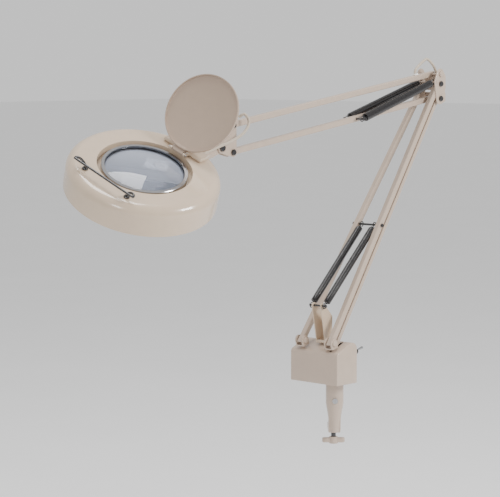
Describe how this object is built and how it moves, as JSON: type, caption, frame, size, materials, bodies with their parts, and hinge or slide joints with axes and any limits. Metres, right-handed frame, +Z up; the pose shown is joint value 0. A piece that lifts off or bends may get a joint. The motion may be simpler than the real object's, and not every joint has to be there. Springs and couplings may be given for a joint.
{
  "type": "magnifying lamp",
  "caption": "Clamp-on task lamp: a ring-lit magnifying lens in a round shade with a hinged lens cover, on a spring-balanced parallel-link arm.",
  "frame": {"origin": "on the underside of the clamp's upper jaw, over the clamp screw's axis, where the worktop's upper face lies", "axes": "+Z up; +X from the elbow towards the head, in the plane of the arms; +Y towards the side with the control link"},
  "size_m": [0.8134, 0.2196, 0.6384],
  "materials": {
    "cream_paint": "semi-gloss cream paint",
    "beige_paint": "semi-gloss beige paint",
    "tan_plastic": "satin",
    "dark_steel": "blackened, bright highlights",
    "bright_steel": "polished plate",
    "lens_glass": "clear, polished",
    "tube_glass": "white coated inside",
    "black_rubber": "matt",
    "white_plastic": "gloss",
    "cord_jacket": "satin"
  },
  "bodies": {
    "clamp": {"clamp_frame": "beige_paint", "set_screw": "bright_steel", "swivel_washer": "beige_paint"},
    "clamp_pad": {"clamp_pad": "bright_steel"},
    "clamp_screw": {"clamp_screw": "dark_steel", "clamp_knob": "beige_paint"},
    "turret": {"base_housing": "beige_paint", "base_plate": "dark_steel", "spindle": "bright_steel", "ballast": "bright_steel", "terminal_block": "white_plastic", "pivot_yoke_left": "beige_paint", "pivot_yoke_right": "beige_paint", "link_lug": "bright_steel", "link_pin": "dark_steel", "spring_bracket": "cream_paint", "spring_anchor_pin": "dark_steel", "switch_body": "dark_steel", "cord_gland": "black_rubber", "cord_base": "cord_jacket"},
    "toggle": {"switch_toggle": "bright_steel"},
    "lower_arm": {"lower_bar_left": "beige_paint", "lower_bar_right": "beige_paint", "lower_cross_pin": "dark_steel", "lower_spring_left": "dark_steel", "lower_spring_right": "dark_steel", "cord_lower": "cord_jacket"},
    "link": {"control_link": "beige_paint"},
    "elbow": {"elbow_bracket": "beige_paint", "elbow_bolt_main": "dark_steel", "elbow_bolt_low": "dark_steel", "elbow_bolt_top": "dark_steel", "cord_elbow": "cord_jacket"},
    "upper_arm": {"upper_arm_bar": "beige_paint", "upper_cross_pin": "dark_steel", "upper_spring_left": "dark_steel", "upper_spring_right": "dark_steel"},
    "upper_link": {"upper_link_bar": "beige_paint", "cord_bush": "white_plastic", "cord_upper": "cord_jacket"},
    "head_bracket": {"head_bracket": "beige_paint", "head_bolt_low": "dark_steel", "head_bolt_top": "dark_steel"},
    "neck": {"neck_block": "beige_paint", "pitch_bolt": "dark_steel"},
    "head": {"shade": "cream_paint", "reflector": "white_plastic", "lens": "lens_glass", "lens_gasket": "black_rubber", "lens_ring": "bright_steel", "circular_tube": "tube_glass", "tube_plug": "white_plastic", "hinge_housing": "cream_paint", "hinge_pin": "bright_steel", "handle_rod": "dark_steel", "neck_stud": "bright_steel", "neck_flange": "beige_paint", "neck_nut": "bright_steel", "cord_head": "cord_jacket"},
    "cover": {"lens_cover": "tan_plastic"}
  },
  "joints": [
    {"name": "clamp_travel", "type": "slide", "parent": "clamp", "child": "clamp_pad", "axis": [0, 0, 1], "range_m": [-0.037, 0.0122]},
    {"name": "clamp_screw_turn", "type": "hinge", "parent": "clamp_pad", "child": "clamp_screw", "pos_m": [0, 0, -0.082], "axis": [0, 0, 1], "range_deg": [-3340, 1105]},
    {"name": "base_swivel", "type": "hinge", "parent": "clamp", "child": "turret", "pos_m": [0.02927, 0.02727, 0.018], "axis": [0, 0, 1], "continuous": true},
    {"name": "switch_toggle", "type": "hinge", "parent": "turret", "child": "toggle", "pos_m": [0.01927, 0.05827, 0.068], "axis": [0, 1, 0], "range_deg": [-24, 0]},
    {"name": "lower_arm_raise", "type": "hinge", "parent": "turret", "child": "lower_arm", "pos_m": [0.06327, 0.01627, 0.0855], "axis": [0, 1, 0], "range_deg": [-22, 13], "deforming": ["lower_spring_left", "lower_spring_right", "cord_base"]},
    {"name": "link_swing", "type": "hinge", "parent": "turret", "child": "link", "pos_m": [0.06327, 0.04727, 0.0605], "axis": [0, 1, 0], "range_deg": [-28, 20]},
    {"name": "elbow_level", "type": "hinge", "parent": "lower_arm", "child": "elbow", "pos_m": [-0.23306, 0.01627, 0.50058], "axis": [0, 1, 0], "range_deg": [-20, 28]},
    {"name": "upper_arm_raise", "type": "hinge", "parent": "elbow", "child": "upper_arm", "pos_m": [-0.23306, 0.01627, 0.47558], "axis": [0, 1, 0], "range_deg": [-45, 16], "deforming": ["upper_spring_left", "upper_spring_right", "cord_elbow"]},
    {"name": "upper_link_swing", "type": "hinge", "parent": "elbow", "child": "upper_link", "pos_m": [-0.23306, 0.01627, 0.51708], "axis": [0, 1, 0], "range_deg": [-52, 23]},
    {"name": "head_level", "type": "hinge", "parent": "upper_arm", "child": "head_bracket", "pos_m": [0.26627, 0.01627, 0.40011], "axis": [0, 1, 0], "range_deg": [-23, 52]},
    {"name": "head_pitch", "type": "hinge", "parent": "head_bracket", "child": "neck", "pos_m": [0.29077, 0.01627, 0.40761], "axis": [0, 1, 0], "range_deg": [-35, 35], "deforming": ["cord_head"]},
    {"name": "head_roll", "type": "hinge", "parent": "neck", "child": "head", "pos_m": [0.29077, 0.01627, 0.40761], "axis": [0.9686, 0, -0.2487], "range_deg": [-60, 90]},
    {"name": "cover_hinge", "type": "hinge", "parent": "head", "child": "cover", "pos_m": [0.39143, 0.02843, 0.40642], "axis": [-0.1129, 0.891, -0.4397], "range_deg": [0, 126.5]}
  ],
  "couplings": [
    {"joint": "clamp_screw_turn", "follows": "clamp_travel", "rad_per_m": 1570.8},
    {"joint": "link_swing", "follows": "lower_arm_raise", "ratio": 1},
    {"joint": "elbow_level", "follows": "lower_arm_raise", "ratio": -1},
    {"joint": "upper_link_swing", "follows": "upper_arm_raise", "ratio": 1},
    {"joint": "head_level", "follows": "upper_arm_raise", "ratio": -1}
  ]
}
